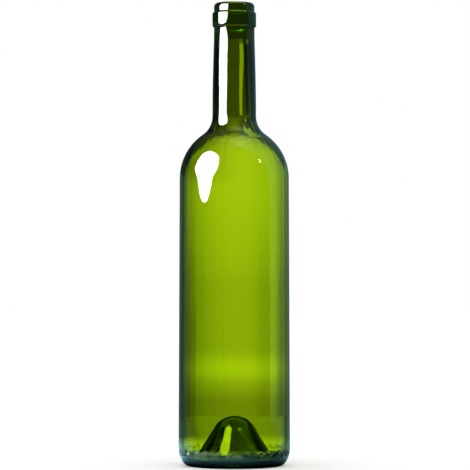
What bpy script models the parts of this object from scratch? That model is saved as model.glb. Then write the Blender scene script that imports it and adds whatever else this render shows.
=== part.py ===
"""Empty tall Bordeaux wine bottle of green glass, without its cork.

One turned solid: a cork mouth with a rounded lip and a flat band, a slim neck that widens
a little downwards, a round shoulder, a straight body, a rounded heel and a deep punt.
Metres, +Z up. The origin is the centre of the ring that the bottle stands on.
"""

import math

import bmesh
import bpy

# Outside, from the top down
HEIGHT = 0.3167
LIP_RADIUS = 0.01385
LIP_ROUND = 0.0026
BAND_RADIUS = 0.015
BAND_TOP = 0.31
BAND_BOTTOM = 0.3002
BAND_ROUND = 0.001
GROOVE_ROUND = 0.0009
NECK_TOP_RADIUS = 0.0139
NECK_BOTTOM_RADIUS = 0.01495
NECK_STRAIGHT_TO = 0.293
NECK_FILLET = 0.0155
SHOULDER_RADIUS = 0.0374
SHOULDER_LEVEL = 0.1964
SHOULDER_ROUND = 0.0361
BASE_RADIUS = 0.0381
HEEL_WIDTH = 0.0072
HEEL_HEIGHT = 0.013

# Inside
BORE_RADIUS = 0.00925
MOUTH_ROUND = 0.001
BORE_TO = 0.299
NECK_INNER_TOP_RADIUS = 0.01
NECK_INNER_TOP = 0.287
NECK_INNER_BOTTOM_RADIUS = 0.0116
NECK_INNER_FILLET = 0.0167
SHOULDER_WALL = 0.0031
SHOULDER_INNER_ROUND = 0.0349
BASE_WALL = 0.0034
FLOOR_LEVEL = 0.0065
FLOOR_ROUND = 0.0065
FOOT_ROUND = 0.004

# Punt, the hollow cone that is pushed up into the base
PUNT_INNER_ANGLE = 58.5
PUNT_INNER_TOP = 0.034
PUNT_INNER_DOME = 0.0155
PUNT_OUTER_ANGLE = 50.0
PUNT_OUTER_TOP = 0.0255
PUNT_OUTER_DOME = 0.0095
RING_ROUND = 0.003

# Mesh
SEGMENTS = 48
ARC_ERROR = 0.00008
NECK_STEPS = 6
BORE_STEPS = 4
AXIS_MERGE = 1e-5

# Glass, as seen through the wall
GLASS_COLOUR = (0.34, 0.50, 0.03, 1.0)
GLASS_ROUGHNESS = 0.03
GLASS_IOR = 1.52
SMOOTH_BELOW = math.radians(35)


def oval_arc(centre, across, up, start, end):
    """Points of an oval's arc about centre (r, z), from start to end in degrees, both ends included.

    There are as many as keep the straight pieces within ARC_ERROR of the true round.
    """
    widest = 2 * math.acos(1 - ARC_ERROR / max(across, up))
    steps = max(2, math.ceil(math.radians(abs(end - start)) / widest))
    turns = [math.radians(start + (end - start) * i / steps) for i in range(steps + 1)]
    return [(centre[0] + across * math.cos(t), centre[1] + up * math.sin(t)) for t in turns]


def arc(centre, radius, start, end):
    return oval_arc(centre, radius, radius, start, end)


def ease(start, end, steps, shape):
    """Points from start to end whose radius follows shape(0..1) while the height runs evenly."""
    points = []
    for i in range(steps + 1):
        t = i / steps
        points.append((start[0] + (end[0] - start[0]) * shape(t), start[1] + (end[1] - start[1]) * t))
    return points


def quarter_sine(t):
    return math.sin(t * math.pi / 2)


def smooth_step(t):
    return t * t * (3 - 2 * t)


def shoulder(widest, shoulder_round, neck_radius, fillet):
    """From the widest point of the shoulder up to the foot of the neck: a round, then a hollow."""
    centre = (widest - shoulder_round, SHOULDER_LEVEL)
    across = neck_radius + fillet - centre[0]
    up = math.sqrt((shoulder_round + fillet) ** 2 - across**2)
    meets = math.degrees(math.atan2(up, across))
    points = arc(centre, shoulder_round, 0, meets)
    return points + arc((neck_radius + fillet, centre[1] + up), fillet, 180 + meets, 180)[1:]


def band_edge(radius, level, above):
    """The S-shaped step from a radius out to the band; above is 1 over the band and -1 under it."""
    swing = math.acos(1 - (BAND_RADIUS - radius) / (GROOVE_ROUND + BAND_ROUND))
    half = above * (GROOVE_ROUND + BAND_ROUND) * math.sin(swing) / 2
    turn = above * math.degrees(swing)
    points = arc((radius + GROOVE_ROUND, level + half), GROOVE_ROUND, 180, 180 + turn)
    return points + arc((BAND_RADIUS - BAND_ROUND, level - half), BAND_ROUND, turn, 0)[1:]


def flank_foot(angle, top, dome, level):
    """Radius at which the punt's straight flank, carried on below its dome, would reach a level."""
    lean = math.radians(angle)
    end_radius = dome * math.sin(lean)
    end_height = top - dome * (1 - math.cos(lean))
    return end_radius + (end_height - level) / math.tan(lean)


def corner_length(angle, fillet):
    """Distance from the corner between flank and level to where a fillet starts."""
    return fillet * math.tan(math.radians(angle) / 2)


def inner_profile():
    """From the punt's top on the axis, down into the trough and up the inside to the mouth."""
    dome_centre = (0.0, PUNT_INNER_TOP - PUNT_INNER_DOME)
    points = arc(dome_centre, PUNT_INNER_DOME, 90, 90 - PUNT_INNER_ANGLE)
    foot = flank_foot(PUNT_INNER_ANGLE, PUNT_INNER_TOP, PUNT_INNER_DOME, FLOOR_LEVEL)
    foot += corner_length(PUNT_INNER_ANGLE, FOOT_ROUND)
    points += arc((foot, FLOOR_LEVEL + FOOT_ROUND), FOOT_ROUND, 270 - PUNT_INNER_ANGLE, 270)
    wall_centre = (BASE_RADIUS - BASE_WALL - FLOOR_ROUND, FLOOR_LEVEL + FLOOR_ROUND)
    points += arc(wall_centre, FLOOR_ROUND, 270, 360)
    widest = SHOULDER_RADIUS - SHOULDER_WALL
    points += shoulder(widest, SHOULDER_INNER_ROUND, NECK_INNER_BOTTOM_RADIUS, NECK_INNER_FILLET)
    neck_end = (NECK_INNER_TOP_RADIUS, NECK_INNER_TOP)
    points += ease(neck_end, (BORE_RADIUS, BORE_TO), BORE_STEPS, smooth_step)
    points += arc((BORE_RADIUS + MOUTH_ROUND, HEIGHT - MOUTH_ROUND), MOUTH_ROUND, 180, 90)
    return points


def outer_profile():
    """From the top of the lip, down the outside and up the underside of the punt to the axis."""
    points = arc((LIP_RADIUS - LIP_ROUND, HEIGHT - LIP_ROUND), LIP_ROUND, 90, 0)
    points += band_edge(LIP_RADIUS, BAND_TOP, 1)
    points += band_edge(NECK_TOP_RADIUS, BAND_BOTTOM, -1)[::-1]
    fall = shoulder(SHOULDER_RADIUS, SHOULDER_ROUND, NECK_BOTTOM_RADIUS, NECK_FILLET)[::-1]
    neck_top = (NECK_TOP_RADIUS, NECK_STRAIGHT_TO)
    points += ease(neck_top, fall[0], NECK_STEPS, quarter_sine)
    points += fall[1:]
    heel_centre = (BASE_RADIUS - HEEL_WIDTH, HEEL_HEIGHT)
    points += oval_arc(heel_centre, HEEL_WIDTH, HEEL_HEIGHT, 0, -90)
    ring = flank_foot(PUNT_OUTER_ANGLE, PUNT_OUTER_TOP, PUNT_OUTER_DOME, 0.0)
    ring += corner_length(PUNT_OUTER_ANGLE, RING_ROUND)
    points += arc((ring, RING_ROUND), RING_ROUND, 270, 270 - PUNT_OUTER_ANGLE)
    dome_centre = (0.0, PUNT_OUTER_TOP - PUNT_OUTER_DOME)
    points += arc(dome_centre, PUNT_OUTER_DOME, 90 - PUNT_OUTER_ANGLE, 90)
    return points


def glass_material():
    material = bpy.data.materials.new("green_glass")
    material.use_nodes = True
    shader = material.node_tree.nodes["Principled BSDF"]
    shader.inputs["Base Color"].default_value = GLASS_COLOUR
    shader.inputs["Roughness"].default_value = GLASS_ROUGHNESS
    shader.inputs["Metallic"].default_value = 0.0
    shader.inputs["IOR"].default_value = GLASS_IOR
    shader.inputs["Transmission Weight"].default_value = 1.0
    return material


def turned_mesh(name, profile):
    """An open line of edges, for a Screw modifier to turn about Z."""
    outline = bmesh.new()
    verts = [outline.verts.new((r, 0.0, z)) for r, z in profile]
    for first, second in zip(verts, verts[1:]):
        outline.edges.new((first, second))
    mesh = bpy.data.meshes.new(name)
    outline.to_mesh(mesh)
    outline.free()
    return mesh


def make_bottle(collection):
    profile = inner_profile() + outer_profile()
    bottle = bpy.data.objects.new("bottle", turned_mesh("bottle", profile))
    collection.objects.link(bottle)
    turn = bottle.modifiers.new("turn", "SCREW")
    turn.axis = "Z"
    turn.angle = math.tau
    turn.steps = SEGMENTS
    turn.render_steps = SEGMENTS
    turn.use_merge_vertices = True
    turn.merge_threshold = AXIS_MERGE
    turn.use_smooth_shade = True
    bottle.data.materials.append(glass_material())
    return bottle


def finish_mesh(bottle):
    """Turns the modifier's result into the bottle's own mesh, with the profile's corners kept crisp."""
    graph = bpy.context.evaluated_depsgraph_get()
    turned = bpy.data.meshes.new_from_object(bottle.evaluated_get(graph))
    bottle.modifiers.clear()
    bottle.data = turned
    bottle.data.shade_smooth()
    bottle.data.set_sharp_from_angle(angle=SMOOTH_BELOW)


def main():
    for old in list(bpy.data.objects):
        bpy.data.objects.remove(old)
    collection = bpy.data.collections.new("wine_bottle")
    bpy.context.scene.collection.children.link(collection)
    bottle = make_bottle(collection)
    bpy.context.view_layer.update()
    finish_mesh(bottle)


main()
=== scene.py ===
"""Green glass wine bottle in a light tent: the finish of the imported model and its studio.

Laid out as a Blender add-on and run as a script. Sizes are in metres, +Z is up, and the bottle
stands on the origin.
"""

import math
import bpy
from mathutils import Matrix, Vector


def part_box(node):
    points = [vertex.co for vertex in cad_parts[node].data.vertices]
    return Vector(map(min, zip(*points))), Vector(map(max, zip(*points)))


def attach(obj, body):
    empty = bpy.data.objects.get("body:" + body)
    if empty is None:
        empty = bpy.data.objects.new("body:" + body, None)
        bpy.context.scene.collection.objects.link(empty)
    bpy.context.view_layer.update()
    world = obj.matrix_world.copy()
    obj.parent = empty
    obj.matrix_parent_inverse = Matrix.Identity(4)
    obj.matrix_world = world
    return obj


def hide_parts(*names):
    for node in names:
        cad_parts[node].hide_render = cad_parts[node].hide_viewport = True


bl_info = {
    "name": "Green Wine Bottle",
    "version": (1, 0, 0),
    "blender": (4, 5, 0),
    "location": "3D Viewport > Sidebar > Bottle",
    "description": "Blows a green glass wine bottle with an uneven inside and sets up its studio",
    "category": "Add Mesh",
}

import bmesh
import bpy
from bpy.props import FloatProperty, FloatVectorProperty, IntProperty, PointerProperty
from bpy.types import Operator, Panel, PropertyGroup
from mathutils import Vector

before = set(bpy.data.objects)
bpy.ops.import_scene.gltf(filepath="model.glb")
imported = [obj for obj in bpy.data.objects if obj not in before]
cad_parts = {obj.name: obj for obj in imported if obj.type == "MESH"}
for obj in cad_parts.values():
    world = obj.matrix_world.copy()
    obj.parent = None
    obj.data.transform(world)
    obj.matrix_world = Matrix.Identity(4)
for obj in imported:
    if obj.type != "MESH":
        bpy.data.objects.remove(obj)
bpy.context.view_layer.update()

BOTTLE_FAR_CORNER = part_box("bottle")[1]
HEIGHT = BOTTLE_FAR_CORNER.z
BASE_RADIUS = BOTTLE_FAR_CORNER.x

# Waves in the wall's thickness: size, waves round the bottle, phase, drift of the phase per metre of height
SLOW_WAVES = ((1.0, 1, 0.6, 0.0), (0.6, 2, 2.1, 6.0), (0.45, 3, 4.0, -9.0), (0.3, 5, 1.0, 0.0))
FINE_STREAKS = ((1.0, 11, 0.4, 0.0), (0.8, 17, 2.0, 5.0), (0.7, 29, 1.3, 0.0), (0.5, 41, 5.0, -8.0))

# Heights between which the wall wavers, its soft ends, and the radius within which it does not
WAVER_LOW = 0.02
WAVER_HIGH = 0.27
WAVER_SOFT = 0.012
WAVER_INNERMOST = 0.009

# Crescents round the heel: lengths in knurl sizes, the lean and both steps in radians
KNURL_SCATTER = 0.4
KNURL_SCATTER_STEP = 4.1
KNURL_LEAN = 0.9
KNURL_LEAN_STEP = 2.4
KNURL_OFFSET = 0.6
KNURL_OPENING = 0.4
KNURL_LINE_SOFT = 1.5

# Their part of the heel: its least radius, the end of its arc in degrees, and how much finer it is made
KNURL_INNERMOST = 0.03
KNURL_ARC_END = -36
KNURL_ARC_FINENESS = 40

# Ripple of the glass, longer upwards than round
RIPPLE_SCALE = (60.0, 60.0, 9.0)
RIPPLE_DETAIL = 2.0

# Colours of light, as red, green, blue and 1
WHITE = (1.0, 1.0, 1.0, 1.0)
BLACK = (0.0, 0.0, 0.0, 1.0)
ROOM_DARK = (0.004, 0.006, 0.007, 1.0)
ROOM_WALL_FOOT = (0.13, 0.25, 0.21, 1.0)
ROOM_WALL_LEFT = (0.02, 0.05, 0.06, 1.0)
ROOM_WALL_RIGHT = (0.12, 0.28, 0.3, 1.0)
ROOM_CEILING = (0.6, 0.8, 0.7, 1.0)
TABLE_PALE = (0.6, 1.2, 1.4, 1.0)
TABLE_CLOSE = (0.36, 0.95, 1.15, 1.0)
TABLE_WIDE = (0.15, 0.27, 0.22, 1.0)
TABLE_WHITE = (0.93, 0.93, 0.93, 1.0)

# Tints of the small glows, as red, green and blue
SPARK_TINT = (1.0, 0.95, 0.45)
LIP_FLAG_TINT = (0.04, 0.04, 0.03)
PUNT_SHADE_TINT = (0.03, 0.03, 0.03)

# Lamp outlines, from an oval at 2 towards a rectangle
KEY_ROUNDNESS = 2.6
SPARK_ROUNDNESS = 2.0
PUNT_LAMP_ROUNDNESS = 3.0

# The punt lamp shows only to light that has passed more surfaces of glass than this
PUNT_LAMP_AIM = Vector((0.0, -0.015, 0.018))
PUNT_LAMP_SURFACES = 3.5

# Places of the stage pieces
TABLE_REACH = 8.0
TABLE_GLOW = 0.15
SHEEN_LEVEL = -0.0002
SHADE_LEVEL = 0.0001
LIP_FLAG_RADIUS = 0.04
LIP_FLAG_LOW = 0.2985
LIP_FLAG_HIGH = 0.3178
BACKDROP_LOW = -0.3
BACKDROP_HIGH = 0.42

# Half of one quarter of the backdrop, in degrees
HALF_QUARTER = 45.0


def length(name, description, default):
    return FloatProperty(name=name, description=description, default=default, min=0.0, unit="LENGTH")


def angle(name, description, degrees):
    return FloatProperty(
        name=name, description=description, default=math.radians(degrees), subtype="ANGLE"
    )


def colour(name, description, default):
    return FloatVectorProperty(
        name=name, description=description, default=default, min=0.0, max=1.0, subtype="COLOR"
    )


class BottleShape(PropertyGroup):
    """Sizes of the bottle, outside and inside."""

    height: length("Height", "From the table to the top of the lip", HEIGHT)
    lip_radius: length("Lip radius", "Outside radius of the rounded lip", 0.01385)
    lip_round: length("Lip round", "Rounding of the lip's outer top edge", 0.0026)
    band_radius: length("Band radius", "Outside radius of the flat band under the lip", 0.015)
    band_top: length("Band top", "Height of the step from lip to band", 0.31)
    band_bottom: length("Band bottom", "Height of the step from band to neck", 0.3002)
    band_round: length("Band round", "Rounding of the band's edges", 0.001)
    groove_round: length("Groove round", "Hollow rounding beside the band", 0.0009)
    neck_top_radius: length("Neck top radius", "Outside radius just under the band", 0.0139)
    neck_foot_radius: length("Neck foot radius", "Outside radius where the neck ends", 0.01495)
    neck_straight_to: length("Neck straight to", "Height above which the neck is straight", 0.293)
    neck_fillet: length("Neck fillet", "Hollow rounding between neck and shoulder", 0.0155)
    shoulder_radius: length("Shoulder radius", "Body radius where the shoulder starts", 0.0374)
    shoulder_level: length("Shoulder level", "Height at which the shoulder starts", 0.1964)
    shoulder_round: length("Shoulder round", "Rounding of the shoulder", 0.0361)
    base_radius: length("Base radius", "Body radius above the heel", BASE_RADIUS)
    heel_width: length("Heel width", "How far in the rounded heel reaches", 0.0072)
    heel_height: length("Heel height", "How far up the rounded heel reaches", 0.013)
    bore_radius: length("Bore radius", "Radius of the bore that takes the cork", 0.00925)
    bore_to: length("Bore end", "Height at which the bore starts to widen", 0.299)
    mouth_round: length("Mouth round", "Rounding of the lip's inner edge", 0.001)
    neck_inner_top: length("Neck inner top", "Height at which the widening ends", 0.287)
    neck_inner_top_radius: length("Neck inner top radius", "Inside radius there", 0.01)
    neck_inner_foot_radius: length("Neck inner foot radius", "Inside radius at the foot", 0.0116)
    neck_inner_fillet: length("Neck inner fillet", "Inside rounding to the shoulder", 0.0167)
    shoulder_wall: length("Shoulder wall", "Wall thickness where the shoulder starts", 0.0031)
    shoulder_inner_round: length("Shoulder inner round", "Rounding of the inside there", 0.0349)
    base_wall: length("Base wall", "Wall thickness above the heel", 0.0034)
    floor_level: length("Floor level", "Height of the trough round the punt", 0.0065)
    floor_round: length("Floor round", "Rounding from trough to wall", 0.0065)
    foot_round: length("Foot round", "Rounding from trough to punt", 0.004)
    punt_inner_angle: angle("Punt inner angle", "Steepness of the punt's flank inside", 58.5)
    punt_inner_top: length("Punt inner top", "Height of the punt inside the bottle", 0.034)
    punt_inner_dome: length("Punt inner dome", "Radius of its dome inside", 0.0155)
    punt_outer_angle: angle("Punt outer angle", "Steepness of its flank underneath", 50.0)
    punt_outer_top: length("Punt outer top", "Depth of the hollow under the base", 0.0255)
    punt_outer_dome: length("Punt outer dome", "Radius of its dome underneath", 0.0095)
    ring_round: length("Ring round", "Rounding from the standing ring to the punt", 0.003)


class GlassMesh(PropertyGroup):
    """How finely the glass is made, and how uneven."""

    segments: IntProperty(name="Segments", description="Sides round the axis", default=360, min=24)
    arc_error: length("Arc error", "Largest gap between an arc and its straight pieces", 0.00003)
    wall_step: length("Wall step", "Height of one row of faces on the straight walls", 0.007)
    wall_waver: length("Wall waver", "Slow change in wall thickness round the bottle", 0.00016)
    wall_streak: length("Wall streak", "Fine upright streaks on the inside", 0.00001)
    knurl_depth: length("Knurl depth", "Depth of the small crescents round the heel", 0.0007)
    knurl_level: length("Knurl level", "Height of the row of crescents", 0.0095)
    knurl_reach: length("Knurl reach", "Half the height of the finely made row", 0.0038)
    knurl_size: length("Knurl size", "Radius of one crescent", 0.0018)
    knurl_width: length("Knurl width", "Half width of a crescent's line", 0.00055)
    knurl_count: IntProperty(name="Knurls", description="Crescents round the heel", default=68, min=3)


class GlassFinish(PropertyGroup):
    """Colour and surface of the glass."""

    tint: colour("Tint", "Colour that the glass lets through", (0.853, 0.93, 0.024))
    density: FloatProperty(
        name="Density", description="Depth of the tint, per metre of glass", default=900.0, min=0.0
    )
    ior: FloatProperty(name="IOR", description="Index of refraction", default=1.52, min=1.0)
    roughness: FloatProperty(
        name="Roughness", description="Polish of the clean glass", default=0.0, min=0.0, max=1.0
    )
    ripple: length("Ripple", "Height of the ripple left by the mould", 0.00002)


class Studio(PropertyGroup):
    """Camera, backdrop and lamps."""

    camera_distance: length("Camera distance", "From the bottle's axis", 1.68)
    camera_height: length("Camera height", "Above the table", 0.126)
    camera_pitch: angle("Camera pitch", "How far the camera looks up", 1.077)
    camera_side: FloatProperty(
        name="Camera side", description="Offset to the right of the axis", default=0.0005, unit="LENGTH"
    )
    view_angle: angle("View angle", "Width of the camera's view", 10.94)
    key_level: length("Key level", "Height of the point that the key lamp is aimed at", 0.19)
    key_distance: length("Key distance", "From that point to the lamp", 0.9)
    key_azimuth: angle("Key azimuth", "Left of the camera", 64.3)
    key_elevation: angle("Key elevation", "Above the horizon", 25.6)
    key_half_width: angle("Key half width", "Half the lamp's width, seen from the bottle", 28.6)
    key_half_height: angle("Key half height", "Half the lamp's height, seen from the bottle", 23.95)
    key_strength: FloatProperty(name="Key strength", description="Radiance of the lamp", default=26.0)
    backdrop_radius: length("Backdrop radius", "From the bottle's axis to the round backdrop card", 0.6)
    backdrop_strength: FloatProperty(
        name="Backdrop strength", description="Brightness of the backdrop", default=1.19, min=0.0
    )
    spark_azimuth: angle("Spark azimuth", "Left of the camera; negative is to the right", -62.5)
    spark_elevation: angle("Spark elevation", "Above the horizon", 31.5)
    spark_half_width: angle("Spark half width", "Half the small lamp's width", 3.6)
    spark_half_height: angle("Spark half height", "Half the small lamp's height", 5.0)
    spark_strength: FloatProperty(name="Spark strength", description="Radiance of the lamp", default=10.0)
    punt_azimuth: angle("Punt lamp azimuth", "Left of the camera, seen from the punt", 49.0)
    punt_elevation: angle("Punt lamp elevation", "Above the horizon", 56.0)
    punt_half_width: angle("Punt lamp half width", "Half the lamp's width", 22.0)
    punt_half_height: angle("Punt lamp half height", "Half the lamp's height", 9.0)
    punt_strength: FloatProperty(name="Punt lamp strength", description="Radiance in the punt", default=30.0)
    shade_radius: length("Shade radius", "Radius of the unlit patch under the base", 0.02)


# Turned profile


def oval_arc(centre, across, up, start, end, error):
    """Points of an oval's arc about centre (r, z), from start to end in degrees, both ends included."""
    widest = 2 * math.acos(1 - error / max(across, up))
    steps = max(2, math.ceil(math.radians(abs(end - start)) / widest))
    turns = [math.radians(start + (end - start) * i / steps) for i in range(steps + 1)]
    return [(centre[0] + across * math.cos(t), centre[1] + up * math.sin(t)) for t in turns]


def arc(centre, radius, start, end, error):
    return oval_arc(centre, radius, radius, start, end, error)


def stretch(start, end, step, shape=lambda t: t):
    """Points from start to end, a step apart in height, whose radius follows shape(0..1)."""
    steps = max(1, round(abs(end[1] - start[1]) / step))
    points = []
    for i in range(steps + 1):
        t = i / steps
        points.append((start[0] + (end[0] - start[0]) * shape(t), start[1] + (end[1] - start[1]) * t))
    return points


def quarter_sine(t):
    return math.sin(t * math.pi / 2)


def smooth_step(t):
    t = min(max(t, 0.0), 1.0)
    return t * t * (3 - 2 * t)


def shoulder(shape, widest, shoulder_round, neck_radius, fillet, error):
    """From the widest point of the shoulder up to the foot of the neck: a round, then a hollow."""
    centre = (widest - shoulder_round, shape.shoulder_level)
    across = neck_radius + fillet - centre[0]
    up = math.sqrt((shoulder_round + fillet) ** 2 - across**2)
    meets = math.degrees(math.atan2(up, across))
    hollow = (neck_radius + fillet, centre[1] + up)
    points = arc(centre, shoulder_round, 0, meets, error)
    return points + arc(hollow, fillet, 180 + meets, 180, error)[1:]


def band_edge(shape, radius, level, above, error):
    """The S-shaped step from a radius out to the band; above is 1 over the band and -1 under it."""
    hollow, edge = shape.groove_round, shape.band_round
    swing = math.acos(1 - (shape.band_radius - radius) / (hollow + edge))
    half = above * (hollow + edge) * math.sin(swing) / 2
    turn = above * math.degrees(swing)
    points = arc((radius + hollow, level + half), hollow, 180, 180 + turn, error)
    return points + arc((shape.band_radius - edge, level - half), edge, turn, 0, error)[1:]


def flank_foot(lean, top, dome, level):
    """Radius at which the punt's flank, carried on, would reach a level."""
    end_radius = dome * math.sin(lean)
    end_height = top - dome * (1 - math.cos(lean))
    return end_radius + (end_height - level) / math.tan(lean)


def corner_length(lean, fillet):
    """Distance from the corner between flank and level to where a fillet starts."""
    return fillet * math.tan(lean / 2)


def inner_profile(shape, mesh):
    """From the punt's top on the axis, down into the trough and up the inside to the mouth."""
    error = mesh.arc_error
    lean = shape.punt_inner_angle
    top, dome = shape.punt_inner_top, shape.punt_inner_dome
    points = arc((0.0, top - dome), dome, 90, 90 - math.degrees(lean), error)
    foot = flank_foot(lean, top, dome, shape.floor_level) + corner_length(lean, shape.foot_round)
    foot_centre = (foot, shape.floor_level + shape.foot_round)
    foot_arc = arc(foot_centre, shape.foot_round, 270 - math.degrees(lean), 270, error)
    points += stretch(points[-1], foot_arc[0], mesh.wall_step / 2)[1:-1]
    points += foot_arc
    wall_radius = shape.base_radius - shape.base_wall
    wall_centre = (wall_radius - shape.floor_round, shape.floor_level + shape.floor_round)
    points += arc(wall_centre, shape.floor_round, 270, 360, error)
    rise = shoulder(shape, shape.shoulder_radius - shape.shoulder_wall, shape.shoulder_inner_round,
                    shape.neck_inner_foot_radius, shape.neck_inner_fillet, error)
    points += stretch(points[-1], rise[0], mesh.wall_step)[1:-1]
    points += rise
    neck_end = (shape.neck_inner_top_radius, shape.neck_inner_top)
    points += stretch(points[-1], neck_end, mesh.wall_step)[1:]
    points += stretch(neck_end, (shape.bore_radius, shape.bore_to), mesh.wall_step / 4, smooth_step)[1:]
    rim = (shape.bore_radius + shape.mouth_round, shape.height - shape.mouth_round)
    mouth = arc(rim, shape.mouth_round, 180, 90, error)
    points += stretch(points[-1], mouth[0], mesh.wall_step)[1:-1]
    points += mouth
    return points


def outer_profile(shape, mesh):
    """From the top of the lip, down the outside and up the underside of the punt to the axis."""
    error = mesh.arc_error
    lean = shape.punt_outer_angle
    lip = (shape.lip_radius - shape.lip_round, shape.height - shape.lip_round)
    points = arc(lip, shape.lip_round, 90, 0, error)
    points += band_edge(shape, shape.lip_radius, shape.band_top, 1, error)
    points += band_edge(shape, shape.neck_top_radius, shape.band_bottom, -1, error)[::-1]
    fall = shoulder(shape, shape.shoulder_radius, shape.shoulder_round, shape.neck_foot_radius,
                    shape.neck_fillet, error)[::-1]
    neck_top = (shape.neck_top_radius, shape.neck_straight_to)
    points += stretch(neck_top, fall[0], mesh.wall_step / 2, quarter_sine)
    points += fall[1:]
    heel_centre = (shape.base_radius - shape.heel_width, shape.heel_height)
    across, up = shape.heel_width, shape.heel_height
    heel = oval_arc(heel_centre, across, up, 0, KNURL_ARC_END, error / KNURL_ARC_FINENESS)
    heel += oval_arc(heel_centre, across, up, KNURL_ARC_END, -90, error)[1:]
    points += stretch(points[-1], heel[0], 3 * mesh.wall_step)[1:-1]
    points += heel
    ring_edge = flank_foot(lean, shape.punt_outer_top, shape.punt_outer_dome, 0.0)
    ring = ring_edge + corner_length(lean, shape.ring_round)
    lean = math.degrees(lean)
    points += arc((ring, shape.ring_round), shape.ring_round, 270, 270 - lean, error)
    dome = shape.punt_outer_dome
    dome_arc = arc((0.0, shape.punt_outer_top - dome), dome, 90 - lean, 90, error)
    points += stretch(points[-1], dome_arc[0], mesh.wall_step / 2)[1:-1]
    points += dome_arc
    return points


# Glass surface


def waves(table, turn, height):
    """The sum of a table's waves at one turn about the axis and one height."""
    return sum(size * math.sin(count * turn + phase + drift * height) for size, count, phase, drift in table)


def waver(mesh, turn, height):
    """How far the inside wall stands off its true radius: a slow waver with fine upright streaks."""
    slow = mesh.wall_waver * waves(SLOW_WAVES, turn, height)
    return slow + mesh.wall_streak * waves(FINE_STREAKS, turn, height)


def knurl(mesh, level_radius, height, turn):
    """1 on a crescent of the row round the heel, 0 beside it; each leans and sits a little its own way."""
    size = mesh.knurl_size
    pitch = math.tau / mesh.knurl_count
    index = math.floor(turn / pitch)
    along = (turn / pitch - index - 0.5) * pitch * level_radius
    up = height - mesh.knurl_level - KNURL_SCATTER * size * math.sin(KNURL_SCATTER_STEP * index)
    lean = KNURL_LEAN * math.sin(KNURL_LEAN_STEP * index)
    side = 1.0 if index % 2 else -1.0
    across = side * (along * math.cos(lean) + up * math.sin(lean)) + KNURL_OFFSET * size
    upright = up * math.cos(lean) - along * math.sin(lean)
    off = abs(math.hypot(across, upright) - size) / mesh.knurl_width
    open_side = smooth_step(across / (KNURL_OPENING * size))
    return smooth_step(KNURL_LINE_SOFT - off) * open_side


def window(value, low, high, soft):
    """1 between low and high, falling to 0 over a soft edge outside them."""
    return smooth_step((value - low) / soft + 1) * smooth_step((high - value) / soft + 1)


def in_knurl_row(mesh, point, inside):
    """Whether a point of the profile lies in the finely made row of crescents round the heel."""
    radius, height = point
    return not inside and radius > KNURL_INNERMOST and abs(height - mesh.knurl_level) < mesh.knurl_reach


def join_rings(glass, upper, lower):
    """Faces between two rings, of which one may have twice as many points as the other."""
    count = min(len(upper), len(lower))
    for i in range(count):
        j = (i + 1) % count
        if len(upper) == len(lower):
            glass.faces.new((upper[i], lower[i], lower[j], upper[j]))
        elif len(upper) < len(lower):
            middle = lower[2 * i + 1]
            glass.faces.new((upper[i], lower[2 * i], middle))
            glass.faces.new((upper[i], middle, upper[j]))
            glass.faces.new((middle, lower[2 * j], upper[j]))
        else:
            middle = upper[2 * i + 1]
            glass.faces.new((upper[2 * i], lower[i], middle))
            glass.faces.new((lower[i], lower[j], middle))
            glass.faces.new((lower[j], upper[2 * j], middle))


def place_point(shape, mesh, point, inside, turn):
    """Where a point of the profile stands at one turn about the axis."""
    radius, height = point
    if inside:
        wall = window(height, WAVER_LOW, WAVER_HIGH, WAVER_SOFT)
        if radius > WAVER_INNERMOST:
            radius += wall * waver(mesh, turn, height) * radius / shape.base_radius
    elif in_knurl_row(mesh, point, inside):
        radius -= mesh.knurl_depth * knurl(mesh, shape.base_radius, height, turn)
    return Vector((radius * math.cos(turn), radius * math.sin(turn), height))


def turned_glass(shape, mesh):
    """The bottle as one closed mesh, row by row round the axis."""
    inner = inner_profile(shape, mesh)
    outer = outer_profile(shape, mesh)
    rows = [(point, True) for point in inner] + [(point, False) for point in outer]
    glass = bmesh.new()
    top = glass.verts.new((0.0, 0.0, rows[0][0][1]))
    rings = []
    for point, inside in rows[1:-1]:
        count = mesh.segments * (2 if in_knurl_row(mesh, point, inside) else 1)
        turns = [math.tau * i / count for i in range(count)]
        rings.append([glass.verts.new(place_point(shape, mesh, point, inside, t)) for t in turns])
    bottom = glass.verts.new((0.0, 0.0, rows[-1][0][1]))
    for upper, lower in zip(rings, rings[1:]):
        join_rings(glass, upper, lower)
    for i in range(mesh.segments):
        j = (i + 1) % mesh.segments
        glass.faces.new((top, rings[0][i], rings[0][j]))
        glass.faces.new((rings[-1][j], rings[-1][i], bottom))
    data = bpy.data.meshes.new("bottle_glass")
    glass.to_mesh(data)
    glass.free()
    data.shade_smooth()
    return data


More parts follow.
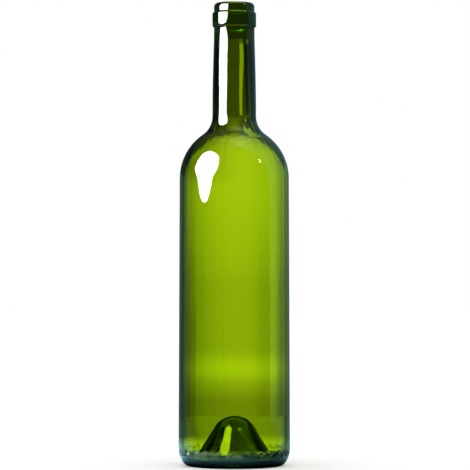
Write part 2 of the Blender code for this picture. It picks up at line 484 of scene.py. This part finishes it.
def glass_material(finish):
    """Clear tinted glass: the tint is in the body of the glass, with a faint ripple on its skin."""
    material = bpy.data.materials.new("olive_glass")
    material.use_nodes = True
    nodes = material.node_tree.nodes
    links = material.node_tree.links
    shader = nodes["Principled BSDF"]
    shader.inputs["Base Color"].default_value = WHITE
    shader.inputs["Roughness"].default_value = finish.roughness
    shader.inputs["IOR"].default_value = finish.ior
    shader.inputs["Transmission Weight"].default_value = 1.0
    place = nodes.new("ShaderNodeTexCoord")
    tall = nodes.new("ShaderNodeMapping")
    tall.inputs["Scale"].default_value = RIPPLE_SCALE
    ripple = nodes.new("ShaderNodeTexNoise")
    ripple.inputs["Detail"].default_value = RIPPLE_DETAIL
    bump = nodes.new("ShaderNodeBump")
    bump.inputs["Distance"].default_value = finish.ripple
    links.new(place.outputs["Object"], tall.inputs["Vector"])
    links.new(tall.outputs["Vector"], ripple.inputs["Vector"])
    links.new(ripple.outputs["Fac"], bump.inputs["Height"])
    links.new(bump.outputs["Normal"], shader.inputs["Normal"])
    body = nodes.new("ShaderNodeVolumeAbsorption")
    body.inputs["Color"].default_value = (*finish.tint, 1.0)
    body.inputs["Density"].default_value = finish.density
    links.new(body.outputs["Volume"], nodes["Material Output"].inputs["Volume"])
    return material


# Studio


class NodeBench:
    """Short calls for the maths nodes of one node tree."""

    def __init__(self, tree):
        self.nodes = tree.nodes
        self.links = tree.links

    def put(self, value, socket):
        if isinstance(value, bpy.types.NodeSocket):
            self.links.new(value, socket)
        else:
            socket.default_value = value

    def math(self, operation, *values):
        node = self.nodes.new("ShaderNodeMath")
        node.operation = operation
        for value, socket in zip(values, node.inputs):
            self.put(value, socket)
        return node.outputs[0]

    def times(self, first, *others):
        for other in others:
            first = self.math("MULTIPLY", first, other)
        return first

    def plus(self, first, *others):
        for other in others:
            first = self.math("ADD", first, other)
        return first

    def greatest(self, first, *others):
        for other in others:
            first = self.math("MAXIMUM", first, other)
        return first

    def between(self, share, first, second):
        """first at a share of 0, second at a share of 1."""
        return self.plus(first, self.times(share, self.math("SUBTRACT", second, first)))

    def ease(self, value, low, high, start, end):
        """start below low, end above high, with a smooth change between."""
        node = self.nodes.new("ShaderNodeMapRange")
        node.interpolation_type = "SMOOTHSTEP"
        self.put(value, node.inputs["Value"])
        for name, number in (("From Min", low), ("From Max", high), ("To Min", start), ("To Max", end)):
            self.put(number, node.inputs[name])
        return node.outputs["Result"]

    def add_colours(self, first, second):
        """The sum of two colours."""
        total = self.mix(1.0, first, second)
        total.node.blend_type = "ADD"
        return total

    def mix(self, factor, first, second):
        node = self.nodes.new("ShaderNodeMix")
        node.data_type = "RGBA"
        self.put(factor, node.inputs["Factor"])
        self.put(first, node.inputs["A"])
        self.put(second, node.inputs["B"])
        return node.outputs["Result"]


def card_by_height(bench, height):
    """Brightness up the middle of the card: a pale seam at the punt, a faint glow above, then brighter."""
    foot = bench.ease(height, 0.01, 0.034, 0.36, 0.6)
    upper = bench.ease(height, 0.115, 0.215, 0.0, 0.2)
    glow = bench.times(bench.ease(height, 0.115, 0.14, 0.0, 0.05), bench.ease(height, 0.15, 0.19, 1.0, 0.0))
    seam_low = bench.ease(height, 0.028, 0.043, 0.0, 0.24)
    seam = bench.times(seam_low, bench.ease(height, 0.044, 0.064, 1.0, 0.0))
    below_table = bench.ease(height, -0.08, -0.02, 0.1, 1.0)
    return bench.times(bench.plus(foot, upper, glow, seam), below_table)


def card_by_side(bench, height, left, right):
    """Share of that brightness beside the middle: it falls on both sides, after a step at the right."""
    def by_height(lower, upper):
        return bench.ease(height, 0.12, 0.2, lower, upper)

    left_fall = bench.ease(left, 1.0, 7.0, 1.0, by_height(0.72, 0.78))
    left_edge = bench.ease(left, 7.0, 15.0, 1.0, by_height(0.47, 0.74))
    left_end = bench.ease(left, 15.0, 32.0, 1.0, 0.35)
    left_foot = bench.ease(left, 6.0, 11.0, 1.0, bench.ease(height, 0.08, 0.12, 0.8, 1.0))
    right_fall = bench.ease(right, 1.0, 6.0, 1.0, by_height(0.8, 0.93))
    right_step = bench.ease(right, 7.0, 7.3, 1.0, by_height(1.3, 1.02))
    right_edge = bench.ease(right, 7.5, 14.0, 1.0, by_height(0.5, 0.68))
    right_end = bench.ease(right, 16.0, 28.0, 1.0, 2.1)
    to_left = bench.times(left_fall, left_edge, left_end, left_foot)
    return bench.times(to_left, right_fall, right_step, right_edge, right_end)


def card_top(bench, height, left, side):
    """Share of it behind the shoulder and the neck, where the card fades out; it reaches up at the sides."""
    shoulder_low = bench.ease(height, 0.2, 0.235, 0.0, 0.28)
    shoulder_high = bench.ease(height, 0.265, 0.285, 1.0, 0.0)
    left_shade = bench.times(shoulder_low, shoulder_high, bench.ease(left, -2.0, 6.0, 0.0, 1.0))
    rise = bench.plus(bench.ease(side, 0.0, 18.0, 0.0, 0.033), bench.ease(side, 16.0, 30.0, 0.0, 0.03))
    shoulder_fade = bench.ease(bench.math("SUBTRACT", height, rise), 0.243, 0.286, 1.0, 0.26)
    neck_fade = bench.ease(height, 0.276, 0.289, 1.0, 0.4)
    neck_edge = bench.ease(side, 8.0, 16.0, 1.0, bench.ease(height, 0.288, 0.302, 1.0, 0.25))
    return bench.times(bench.math("SUBTRACT", 1.0, left_shade), shoulder_fade, neck_fade, neck_edge)


def neck_strips(bench, height, left, right):
    """A lit strip on either side behind the neck; the right one widens upwards and moves outwards."""
    from_start = bench.math("SUBTRACT", right, bench.ease(height, 0.305, 0.34, 3.2, 4.6))
    from_end = bench.math("SUBTRACT", right, bench.ease(height, 0.305, 0.34, 6.2, 10.5))
    right_start = bench.ease(from_start, -0.3, 0.6, 0.0, 0.5)
    right_strip = bench.times(right_start, bench.ease(from_end, -0.8, 1.0, 1.0, 0.0))
    left_strip = bench.times(bench.ease(left, 2.6, 3.6, 0.0, 0.08), bench.ease(left, 9.0, 12.0, 1.0, 0.0))
    foot = bench.ease(height, 0.283, 0.3, 0.0, 1.0)
    top = bench.ease(height, 0.348, 0.372, 1.0, 0.3)
    return bench.times(bench.plus(right_strip, left_strip), foot, top)


def card_glow(bench, height, azimuth):
    """Brightness of the round backdrop card by height above the table and degrees from straight behind.

    The card is bright behind the body and fades out behind the shoulder. Behind the neck it is dark,
    but for a strip on either side. Its four quarters are alike.
    """
    right = bench.math("WRAP", azimuth, HALF_QUARTER, -HALF_QUARTER)
    left = bench.times(right, -1.0)
    side = bench.math("ABSOLUTE", right)
    level = bench.times(
        card_by_height(bench, height),
        card_by_side(bench, height, left, right),
        card_top(bench, height, left, side),
    )
    top_edge = bench.ease(height, 0.35, 0.375, 0.0, 0.2)
    upper_right = bench.times(top_edge, bench.ease(right, 16.0, 22.0, 0.0, 1.0))
    far_below = bench.ease(height, -0.16, -0.1, 0.6, 0.0)
    return bench.greatest(level, neck_strips(bench, height, left, right), upper_right, far_below)


def mirrored_room(bench, x, y, z, elevation):
    """The room as the outside of the bottle mirrors it: dark in front, with lit walls and ceiling."""
    behind = bench.plus(y, bench.times(x, 0.16), bench.times(z, 0.3))
    left_wall = bench.ease(y, 0.05, 0.65, 0.13, 0.8)
    right_wall = bench.ease(y, -0.1, 0.5, 1.3, 0.95)
    side_wall = bench.ease(x, -0.2, 0.2, left_wall, right_wall)
    lit = bench.times(bench.ease(behind, -0.0525, -0.0125, 0.0, 1.0), side_wall)
    upper_wall = bench.mix(bench.ease(x, -0.1, 0.3, 0.0, 1.0), ROOM_WALL_LEFT, ROOM_WALL_RIGHT)
    wall = bench.mix(bench.ease(elevation, 3.2, 5.0, 0.0, 1.0), ROOM_WALL_FOOT, upper_wall)
    wall = bench.mix(bench.ease(elevation, 54.0, 76.0, 0.0, 1.0), wall, ROOM_CEILING)
    room = bench.mix(lit, ROOM_DARK, wall)
    return bench.mix(bench.ease(elevation, -12.0, -4.0, 1.0, 0.0), room, ROOM_DARK)


def room_through_glass(bench, path, elevation):
    """Brightness of the room past the backdrop card, as light through the glass meets it."""
    mirrored = path.outputs["Glossy Depth"]
    surfaces = path.outputs["Transmission Depth"]
    over_card = bench.ease(elevation, 10.0, 16.0, 0.03, 0.22)
    under_card = bench.ease(elevation, -16.0, -10.0, 0.6, 0.0)
    past_card = bench.times(bench.greatest(over_card, under_card), bench.ease(mirrored, 0.0, 1.0, 1.0, 0.2))
    first_walls = bench.ease(surfaces, 3.0, 4.0, 0.0, 1.0)
    both_walls = bench.times(first_walls, bench.ease(surfaces, 4.0, 6.0, 1.0, 0.12))
    high = bench.ease(elevation, 34.0, 46.0, 0.0, 1.0)
    ceiling = bench.times(both_walls, bench.math("GREATER_THAN", mirrored, 0.5), high)
    return bench.greatest(past_card, ceiling)


def light_tent():
    """The world: white to the camera, light panels through the glass, a dim room in reflections."""
    world = bpy.data.worlds.new("light_tent")
    world.use_nodes = True
    bench = NodeBench(world.node_tree)
    place = bench.nodes.new("ShaderNodeTexCoord")
    axes = bench.nodes.new("ShaderNodeSeparateXYZ")
    bench.links.new(place.outputs["Generated"], axes.inputs[0])
    x, y, z = axes.outputs
    elevation = bench.math("DEGREES", bench.math("ARCSINE", z))
    path = bench.nodes.new("ShaderNodeLightPath")
    seen = bench.mix(path.outputs["Is Glossy Ray"], WHITE, mirrored_room(bench, x, y, z, elevation))
    seen = bench.mix(path.outputs["Is Transmission Ray"], seen, room_through_glass(bench, path, elevation))
    bench.links.new(seen, bench.nodes["Background"].inputs["Color"])
    return world


def stage_object(name, data, material):
    piece = bpy.data.objects.new(name, data)
    bpy.context.scene.collection.objects.link(piece)
    data.materials.append(material)
    return piece


def glow_material(name, tint, strength, inner_strength, surfaces=0.5):
    """A glow of one strength, and of another for light that has passed more surfaces of glass."""
    material = bpy.data.materials.new(name)
    material.use_nodes = True
    bench = NodeBench(material.node_tree)
    bench.nodes.remove(bench.nodes["Principled BSDF"])
    glow = bench.nodes.new("ShaderNodeEmission")
    glow.inputs["Color"].default_value = (*tint, 1.0)
    path = bench.nodes.new("ShaderNodeLightPath")
    been_in_glass = bench.math("GREATER_THAN", path.outputs["Transmission Depth"], surfaces)
    level = bench.math("MULTIPLY_ADD", been_in_glass, inner_strength - strength, strength)
    bench.links.new(level, glow.inputs["Strength"])
    bench.links.new(glow.outputs[0], bench.nodes["Material Output"].inputs["Surface"])
    return material


def patch(name, aim, distance, azimuth, elevation, half_width, half_height, power):
    """A lamp face on a sphere about aim, with a superellipse outline; azimuth 0 faces the camera."""
    rings = 8
    sides = 64
    face = bmesh.new()

    def point(share, turn):
        swing, climb = math.cos(turn), math.sin(turn)
        scale = share / (abs(swing) ** power + abs(climb) ** power) ** (1 / power)
        side = azimuth + half_width * scale * swing
        up = elevation + half_height * scale * climb
        away = Vector((-math.sin(side) * math.cos(up), -math.cos(side) * math.cos(up), math.sin(up)))
        return face.verts.new(aim + distance * away)

    middle = point(0.0, 0.0)
    turns = [math.tau * i / sides for i in range(sides)]
    loops = [[point((k + 1) / rings, t) for t in turns] for k in range(rings)]
    for i in range(sides):
        j = (i + 1) % sides
        face.faces.new((middle, loops[0][i], loops[0][j]))
        for small, large in zip(loops, loops[1:]):
            face.faces.new((small[i], large[i], large[j], small[j]))
    data = bpy.data.meshes.new(name)
    face.to_mesh(data)
    face.free()
    return data


def add_lamp(name, data, strength, inner_strength, tint=(1.0, 1.0, 1.0), surfaces=0.5):
    """A lamp that only the glass sees: it neither shows nor lights the table."""
    lamp = stage_object(name, data, glow_material(name, tint, strength, inner_strength, surfaces))
    lamp.visible_camera = False
    lamp.visible_diffuse = False
    lamp.visible_shadow = False
    return lamp


def add_table():
    """A pale table that only the camera and the light on it see."""
    table = bmesh.new()
    bmesh.ops.create_grid(table, x_segments=1, y_segments=1, size=TABLE_REACH)
    data = bpy.data.meshes.new("table")
    table.to_mesh(data)
    table.free()
    material = bpy.data.materials.new("pale_table")
    material.use_nodes = True
    shader = material.node_tree.nodes["Principled BSDF"]
    shader.inputs["Base Color"].default_value = TABLE_WHITE
    shader.inputs["Roughness"].default_value = 1.0
    shader.inputs["Specular IOR Level"].default_value = 0.0
    shader.inputs["Emission Color"].default_value = WHITE
    shader.inputs["Emission Strength"].default_value = TABLE_GLOW
    piece = stage_object("table", data, material)
    piece.visible_transmission = False
    piece.visible_glossy = False


def flat_disc(name, radius, height, material):
    disc = bmesh.new()
    bmesh.ops.create_circle(disc, cap_ends=True, segments=64, radius=radius)
    data = bpy.data.meshes.new(name)
    disc.to_mesh(data)
    disc.free()
    piece = stage_object(name, data, material)
    piece.location.z = height
    return piece


def place_material(name, glow):
    """A glow whose colour or brightness glow(bench, x, y, z) gives for each place on the piece."""
    material = bpy.data.materials.new(name)
    material.use_nodes = True
    bench = NodeBench(material.node_tree)
    bench.nodes.remove(bench.nodes["Principled BSDF"])
    emission = bench.nodes.new("ShaderNodeEmission")
    place = bench.nodes.new("ShaderNodeTexCoord")
    axes = bench.nodes.new("ShaderNodeSeparateXYZ")
    bench.links.new(place.outputs["Object"], axes.inputs[0])
    bench.put(glow(bench, *axes.outputs), emission.inputs["Color"])
    bench.links.new(emission.outputs[0], bench.nodes["Material Output"].inputs["Surface"])
    return material


def round_card(name, radius, low, high, material):
    """An open upright tube about the bottle that only light through the glass sees."""
    sides = 256
    card = bmesh.new()
    rows = []
    for height in (low, high):
        turns = [math.tau * i / sides for i in range(sides)]
        rows.append([card.verts.new((radius * math.sin(t), radius * math.cos(t), height)) for t in turns])
    for i in range(sides):
        j = (i + 1) % sides
        card.faces.new((rows[0][i], rows[0][j], rows[1][j], rows[1][i]))
    data = bpy.data.meshes.new(name)
    card.to_mesh(data)
    card.free()
    piece = stage_object(name, data, material)
    piece.visible_camera = False
    piece.visible_diffuse = False
    piece.visible_glossy = False
    piece.visible_shadow = False


def add_lip_flag():
    """A small dark ring round the mouth, behind which the backdrop does not brighten the lip."""
    glow = glow_material("lip_flag", LIP_FLAG_TINT, 1.0, 1.0)
    round_card("lip_flag", LIP_FLAG_RADIUS, LIP_FLAG_LOW, LIP_FLAG_HIGH, glow)


def add_backdrop(studio):
    """A round card about the bottle that only light through the glass sees.

    It is dimmer for light that has been mirrored inside the glass or has passed more than two walls.
    """
    def glow(bench, x, y, z):
        path = bench.nodes.new("ShaderNodeLightPath")
        surfaces = path.outputs["Transmission Depth"]
        azimuth = bench.math("DEGREES", bench.math("ARCTAN2", x, y))
        mirrored = bench.ease(path.outputs["Glossy Depth"], 0.0, 1.0, 1.0, 0.2)
        third_wall = bench.ease(surfaces, 5.0, 6.0, 1.0, 0.5)
        fourth_wall = bench.ease(surfaces, 7.0, 8.0, 1.0, 0.08)
        level = bench.times(card_glow(bench, z, azimuth), mirrored, third_wall, fourth_wall)
        return bench.times(level, studio.backdrop_strength)

    material = place_material("backdrop", glow)
    round_card("backdrop", studio.backdrop_radius, BACKDROP_LOW, BACKDROP_HIGH, material)


def mirrored_table(bench, reach, azimuth, x):
    """The table as the outside of the bottle mirrors it.

    It is pale at the left, with a blue glimmer close by and a dim sheen far out on both sides.
    """
    side = bench.math("ABSOLUTE", azimuth)
    pale = bench.times(
        bench.ease(reach, 0.15, 0.35, 1.0, 0.0),
        bench.ease(reach, 0.036, 0.06, 0.0, 1.0),
        bench.ease(side, 80.0, 105.0, 1.0, 0.0),
        bench.ease(x, -0.02, 0.02, 1.0, 0.3),
    )
    close_end = bench.ease(side, 140.0, 170.0, 0.12, 0.08)
    close = bench.times(
        bench.ease(reach, 0.0335, 0.046, 0.0, 1.0),
        bench.ease(reach, 0.05, close_end, 1.0, 0.0),
        bench.ease(x, 0.0, 0.035, 1.0, 0.4),
        bench.ease(side, 50.0, 110.0, 0.45, 1.0),
    )
    wide = bench.times(bench.ease(reach, 0.1, 0.25, 0.0, 1.0), bench.ease(side, 65.0, 105.0, 1.0, 0.0))
    glimmer = bench.add_colours(bench.mix(pale, BLACK, TABLE_PALE), bench.mix(close, BLACK, TABLE_CLOSE))
    return bench.add_colours(glimmer, bench.mix(wide, BLACK, TABLE_WIDE))


def table_through_glass(bench, reach, azimuth):
    """The table as it is seen through the bottle: brighter from its far edge to the bottle's foot."""
    left = bench.times(azimuth, -1.0)
    side = bench.math("ABSOLUTE", azimuth)
    far_left = bench.times(bench.ease(left, 5.0, 12.0, 0.45, 0.225), bench.ease(left, 12.0, 30.0, 1.0, 0.42))
    far = bench.times(far_left, bench.ease(azimuth, 12.0, 30.0, 1.0, 0.63))
    near = bench.times(bench.ease(left, 30.0, 45.0, 0.95, 0.8), bench.ease(azimuth, 24.0, 37.0, 1.0, 0.5))
    foot_right = bench.ease(azimuth, 50.0, 80.0, 1.1, 0.27)
    foot_behind = bench.times(foot_right, bench.ease(side, 95.0, 150.0, 1.0, 0.08))
    foot = bench.greatest(foot_behind, bench.ease(side, 115.0, 150.0, 0.15, 0.04))
    level = bench.between(bench.ease(reach, 0.12, 0.37, 1.0, 0.0), far, near)
    level = bench.between(bench.ease(reach, 0.045, 0.08, 1.0, 0.0), level, foot)
    front = bench.times(bench.ease(side, 100.0, 125.0, 0.0, 1.0), bench.ease(reach, 0.036, 0.05, 0.0, 0.9))
    return bench.times(level, bench.math("SUBTRACT", 1.0, front))


def add_table_sheen(studio):
    """The lit table as the bottle shows it: mirrored in its outside, and seen through its glass."""
    def glow(bench, x, y, z):
        path = bench.nodes.new("ShaderNodeLightPath")
        surfaces = path.outputs["Transmission Depth"]
        reach = bench.math("SQRT", bench.plus(bench.times(x, x), bench.times(y, y)))
        azimuth = bench.math("DEGREES", bench.math("ARCTAN2", x, y))
        beyond_foot = bench.ease(reach, 0.04, 0.06, 1.0, 0.25)
        mirrored = bench.ease(path.outputs["Glossy Depth"], 0.0, 1.0, 1.0, beyond_foot)
        deep = bench.ease(surfaces, 4.5, 6.0, 1.0, 0.35)
        through = bench.times(table_through_glass(bench, reach, azimuth), mirrored, deep)
        been_in_glass = bench.math("GREATER_THAN", surfaces, 0.5)
        return bench.mix(been_in_glass, mirrored_table(bench, reach, azimuth, x), through)

    material = place_material("table_sheen", glow)
    piece = flat_disc("table_sheen", studio.backdrop_radius, SHEEN_LEVEL, material)
    piece.visible_camera = False
    piece.visible_diffuse = False
    piece.visible_shadow = False


def add_punt_shade(studio):
    """The unlit patch of table under the base."""
    glow = glow_material("punt_shade", PUNT_SHADE_TINT, 1.0, 1.0)
    flat_disc("punt_shade", studio.shade_radius, SHADE_LEVEL, glow)


def add_camera(studio):
    lens = bpy.data.cameras.new("camera")
    lens.sensor_width = 36.0
    lens.angle = studio.view_angle
    lens.clip_start = 0.01
    camera = bpy.data.objects.new("camera", lens)
    bpy.context.scene.collection.objects.link(camera)
    camera.location = (studio.camera_side, -studio.camera_distance, studio.camera_height)
    camera.rotation_euler = (math.radians(90) + studio.camera_pitch, 0.0, 0.0)
    bpy.context.scene.camera = camera


# Operators


class WINE_BOTTLE_OT_blow(Operator):
    """Blow the bottle and give it its green glass"""

    bl_idname = "wine_bottle.blow"
    bl_label = "Blow Bottle"

    def execute(self, context):
        scene = context.scene
        data = turned_glass(scene.bottle_shape, scene.bottle_mesh)
        bottle = bpy.data.objects.new("bottle_glass", data)
        scene.collection.objects.link(bottle)
        data.materials.append(glass_material(scene.bottle_glass))
        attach(bottle, "root")
        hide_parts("bottle")
        return {"FINISHED"}


class WINE_BOTTLE_OT_studio(Operator):
    """Set up the table, the light tent, the lamps and the camera"""

    bl_idname = "wine_bottle.studio"
    bl_label = "Set Up Studio"

    def execute(self, context):
        scene = context.scene
        studio = scene.bottle_studio
        scene.world = light_tent()
        scene.view_settings.view_transform = "Standard"
        aim = Vector((0.0, 0.0, studio.key_level))
        key = patch("key_softbox", aim, studio.key_distance, studio.key_azimuth, studio.key_elevation,
                    studio.key_half_width, studio.key_half_height, KEY_ROUNDNESS)
        add_lamp("key_softbox", key, studio.key_strength, 0.0)
        spark = patch("spark_lamp", aim, studio.key_distance, studio.spark_azimuth, studio.spark_elevation,
                      studio.spark_half_width, studio.spark_half_height, SPARK_ROUNDNESS)
        add_lamp("spark_lamp", spark, studio.spark_strength, 0.0, SPARK_TINT)
        punt = patch("punt_lamp", PUNT_LAMP_AIM, studio.key_distance, studio.punt_azimuth,
                     studio.punt_elevation, studio.punt_half_width, studio.punt_half_height,
                     PUNT_LAMP_ROUNDNESS)
        punt_lamp = add_lamp("punt_lamp", punt, 0.0, studio.punt_strength, surfaces=PUNT_LAMP_SURFACES)
        punt_lamp.visible_glossy = False
        add_table()
        add_table_sheen(studio)
        add_punt_shade(studio)
        add_lip_flag()
        add_backdrop(studio)
        add_camera(studio)
        return {"FINISHED"}


class WINE_BOTTLE_PT_sidebar(Panel):
    """Lists the steps that make the bottle"""

    bl_idname = "WINE_BOTTLE_PT_sidebar"
    bl_label = "Wine Bottle"
    bl_space_type = "VIEW_3D"
    bl_region_type = "UI"
    bl_category = "Bottle"

    def draw(self, context):
        for step in STEPS:
            self.layout.operator(step.bl_idname)


STEPS = (WINE_BOTTLE_OT_blow, WINE_BOTTLE_OT_studio)
SETTINGS = {
    "bottle_shape": BottleShape,
    "bottle_mesh": GlassMesh,
    "bottle_glass": GlassFinish,
    "bottle_studio": Studio,
}


def register():
    for group in (*SETTINGS.values(), *STEPS, WINE_BOTTLE_PT_sidebar):
        bpy.utils.register_class(group)
    for name, group in SETTINGS.items():
        setattr(bpy.types.Scene, name, PointerProperty(type=group))


def unregister():
    for name in SETTINGS:
        delattr(bpy.types.Scene, name)
    for group in (WINE_BOTTLE_PT_sidebar, *STEPS, *SETTINGS.values()):
        bpy.utils.unregister_class(group)


def main():
    register()
    bpy.ops.wine_bottle.blow()
    bpy.ops.wine_bottle.studio()
    bpy.context.view_layer.update()


if __name__ == "__main__":
    main()
